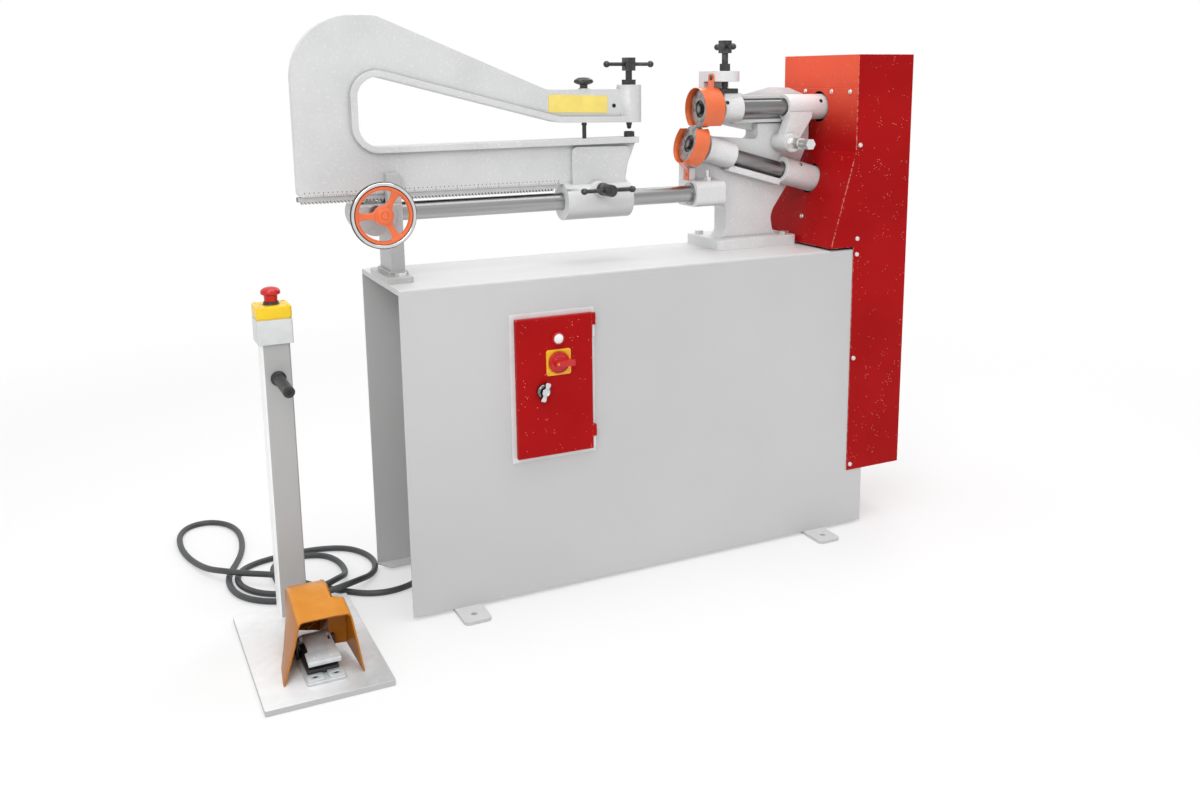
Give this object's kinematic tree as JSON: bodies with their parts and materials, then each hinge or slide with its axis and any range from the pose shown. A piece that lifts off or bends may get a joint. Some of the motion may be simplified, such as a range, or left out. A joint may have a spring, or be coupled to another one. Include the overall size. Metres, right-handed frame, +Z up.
{
  "type": "circular shear",
  "caption": "Motor-driven circular shear: cutter discs on belt-driven shafts, sliding deep-throat centre clamp frame, sheet cabinet with control box, foot switch stand",
  "frame": {"origin": "on the floor, in the middle of the rectangle of floor bolt holes", "axes": "+X along the machine towards the belt cover, +Y to the back, +Z up"},
  "size_m": [1.8051, 1.0616, 1.333],
  "materials": {
    "grey_paint": "satin powder coat",
    "cast_paint": "satin paint over a fine casting skin",
    "red_paint": "glossy powder coat",
    "orange_paint": "glossy paint",
    "amber_paint": "satin paint",
    "motor_paint": "satin paint",
    "zinc": "zinc plated",
    "zinc_plate": "galvanised sheet",
    "ground_steel": "ground",
    "tool_steel": "hardened and ground",
    "dark_steel": "blackened",
    "cast_iron": "machined",
    "bronze": "turned",
    "chrome": "polished",
    "pedal_alloy": "cast",
    "black_plastic": "matt",
    "grey_plastic": "matt",
    "yellow_plastic": "smooth",
    "red_plastic": "smooth",
    "lamp_lens": "clear white lens in a red bezel",
    "black_rubber": "ribbed",
    "belt_rubber": "smooth",
    "cord_rubber": "satin"
  },
  "bodies": {
    "cabinet": {"front_panel": "grey_paint", "back_panel": "grey_paint", "top_plate": "grey_paint", "floor_feet": "grey_paint", "control_box": "grey_paint", "control_gear": "black_plastic", "belt_cover": "red_paint", "shaft_cover_panel": "red_paint", "cover_screws": "zinc", "head_casting": "cast_paint", "frame_bolts": "zinc", "guide_bar": "ground_steel", "bar_bracket": "cast_paint", "gear_motor": "motor_paint", "drive_belt": "belt_rubber", "disc_guards": "orange_paint", "station_stand": "zinc_plate", "stop_box": "grey_plastic", "stop_box_lid": "yellow_plastic", "grip": "black_rubber", "pedal_guard": "amber_paint", "pedal_base": "black_plastic", "control_cord": "cord_rubber", "cord_glands": "black_plastic", "lower_bushes": "bronze"},
    "door": {"control_door": "red_paint", "signal_lamp": "lamp_lens", "main_switch": "yellow_plastic"},
    "knob": {"switch_knob": "red_plastic"},
    "latch": {"door_latch": "chrome"},
    "stop": {"stop_button": "red_plastic"},
    "pedal": {"pedal": "pedal_alloy"},
    "wheel": {"handwheel": "orange_paint", "pinion": "ground_steel"},
    "centre_frame": {"c_frame": "cast_paint", "rack": "dark_steel", "anvil": "ground_steel", "spindle_nut": "dark_steel"},
    "point": {"clamp_point": "dark_steel"},
    "spindle": {"clamp_spindle": "dark_steel"},
    "spindle_bar": {"clamp_bar": "dark_steel"},
    "stay": {"stay_screw": "dark_steel"},
    "collar_clamp": {"collar_screw": "dark_steel"},
    "collar_clamp_bar": {"collar_bar": "dark_steel"},
    "swing_arm": {"upper_arm": "cast_paint", "upper_bushes": "bronze", "keeper_plate": "dark_steel"},
    "upper_spindle": {"upper_shaft": "ground_steel", "upper_disc": "tool_steel", "upper_disc_nut": "dark_steel", "upper_gear": "cast_iron", "upper_pulley": "cast_iron"},
    "lower_spindle": {"lower_shaft": "ground_steel", "lower_disc": "tool_steel", "lower_disc_nut": "dark_steel", "lower_gear": "cast_iron"},
    "adjuster_pad": {"thrust_pad": "dark_steel"},
    "adjuster": {"arm_screw": "dark_steel"},
    "adjuster_bar": {"arm_screw_bar": "dark_steel"},
    "drive_pulley": {"motor_pulley": "cast_iron"}
  },
  "joints": [
    {"name": "frame_slide", "type": "slide", "parent": "cabinet", "child": "centre_frame", "axis": [1, 0, 0], "range_m": [-0.33, 0.11]},
    {"name": "wheel_spin", "type": "hinge", "parent": "cabinet", "child": "wheel", "pos_m": [-0.624, -0.12, 0.9145], "axis": [0, 1, 0], "range_deg": [-845, 285]},
    {"name": "point_slide", "type": "slide", "parent": "centre_frame", "child": "point", "axis": [0, 0, 1], "range_m": [-0.004, 0.02]},
    {"name": "spindle_spin", "type": "hinge", "parent": "point", "child": "spindle", "pos_m": [0.02, 0, 1.2], "axis": [0, 0, 1], "range_deg": [-725, 3605]},
    {"name": "spindle_bar_slide", "type": "slide", "parent": "spindle", "child": "spindle_bar", "axis": [1, 0, 0], "range_m": [-0.037, 0.037]},
    {"name": "stay_slide", "type": "slide", "parent": "centre_frame", "child": "stay", "axis": [0, 0, 1], "range_m": [0, 0.03]},
    {"name": "collar_clamp_spin", "type": "hinge", "parent": "centre_frame", "child": "collar_clamp", "pos_m": [-0.08, -0.09, 0.938], "axis": [0, 1, 0], "range_deg": [0, 120]},
    {"name": "collar_bar_slide", "type": "slide", "parent": "collar_clamp", "child": "collar_clamp_bar", "axis": [1, 0, 0], "range_m": [-0.0305, 0.0305]},
    {"name": "adjuster_spin", "type": "hinge", "parent": "adjuster_pad", "child": "adjuster", "pos_m": [0.291, 0, 1.27], "axis": [0, 0, 1], "range_deg": [0, 451]},
    {"name": "arm_pivot", "type": "hinge", "parent": "cabinet", "child": "swing_arm", "pos_m": [0.47, 0, 1.029], "axis": [0, 1, 0], "range_deg": [0, 1]},
    {"name": "pad_slide", "type": "slide", "parent": "cabinet", "child": "adjuster_pad", "axis": [0, 0, 1], "range_m": [0, 0.00313]},
    {"name": "adjuster_bar_slide", "type": "slide", "parent": "adjuster", "child": "adjuster_bar", "axis": [0, 1, 0], "range_m": [-0.016, 0.016]},
    {"name": "lower_spin", "type": "hinge", "parent": "cabinet", "child": "lower_spindle", "pos_m": [0.389, 0, 0.978], "axis": [0.9636, 0, -0.2672], "continuous": true},
    {"name": "upper_spin", "type": "hinge", "parent": "swing_arm", "child": "upper_spindle", "pos_m": [0.389, 0, 1.119], "axis": [1, 0, 0], "continuous": true},
    {"name": "drive_spin", "type": "hinge", "parent": "cabinet", "child": "drive_pulley", "pos_m": [0.713, 0, 0.308], "axis": [1, 0, 0], "continuous": true},
    {"name": "door_hinge", "type": "hinge", "parent": "cabinet", "child": "door", "pos_m": [-0.1638, -0.1725, 0.5], "axis": [0, 0, 1], "range_deg": [0, 110]},
    {"name": "switch_turn", "type": "hinge", "parent": "door", "child": "knob", "pos_m": [-0.255, -0.19, 0.564], "axis": [0, 1, 0], "range_deg": [0, 90]},
    {"name": "latch_turn", "type": "hinge", "parent": "door", "child": "latch", "pos_m": [-0.293, -0.185, 0.5], "axis": [0, 1, 0], "range_deg": [0, 90]},
    {"name": "stop_push", "type": "slide", "parent": "cabinet", "child": "stop", "axis": [0, 0, -1], "range_m": [0, 0.004], "stiffness_N_per_m": 500, "springref_m": -0.004},
    {"name": "pedal_push", "type": "hinge", "parent": "cabinet", "child": "pedal", "pos_m": [-0.844, -0.228, 0.052], "axis": [1, 0, 0], "range_deg": [0, 8], "stiffness_Nm_per_rad": 4, "springref_deg": -8.59}
  ],
  "couplings": [
    {"joint": "wheel_spin", "follows": "frame_slide", "rad_per_m": 44.444},
    {"joint": "spindle_spin", "follows": "point_slide", "rad_per_m": 3141.6},
    {"joint": "adjuster_spin", "follows": "arm_pivot", "ratio": 449.88},
    {"joint": "pad_slide", "follows": "arm_pivot", "m_per_rad": 0.179},
    {"joint": "upper_spin", "follows": "lower_spin", "ratio": -1},
    {"joint": "drive_spin", "follows": "lower_spin", "ratio": -1}
  ]
}
